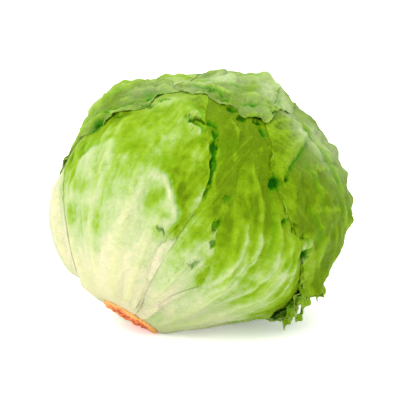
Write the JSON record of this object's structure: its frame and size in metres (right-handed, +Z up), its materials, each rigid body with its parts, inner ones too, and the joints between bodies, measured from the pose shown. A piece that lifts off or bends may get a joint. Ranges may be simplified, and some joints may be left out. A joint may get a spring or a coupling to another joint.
{
  "type": "iceberg lettuce head",
  "caption": "Whole head of iceberg lettuce, resting on its side with the cut stem low at the front, wrapped in overlapping crinkled leaves.",
  "frame": {"origin": "middle of the flat spot under the head, where it rests", "axes": "+Z up; the front, with the stem at its lower left, faces -Y; +X to the right seen from the front"},
  "size_m": [0.1584, 0.1571, 0.1313],
  "materials": {
    "outer_leaf": "satin",
    "pale_leaf": "satin",
    "heart": "matte",
    "stem": "matte"
  },
  "bodies": {
    "root": {"heart": "heart", "stem": "stem", "leaf_left": "pale_leaf", "leaf_bottom": "pale_leaf", "leaf_middle": "outer_leaf", "leaf_front": "outer_leaf", "leaf_right": "outer_leaf", "leaf_top_left": "outer_leaf", "leaf_crown": "outer_leaf", "leaf_back": "outer_leaf"}
  },
  "joints": []
}
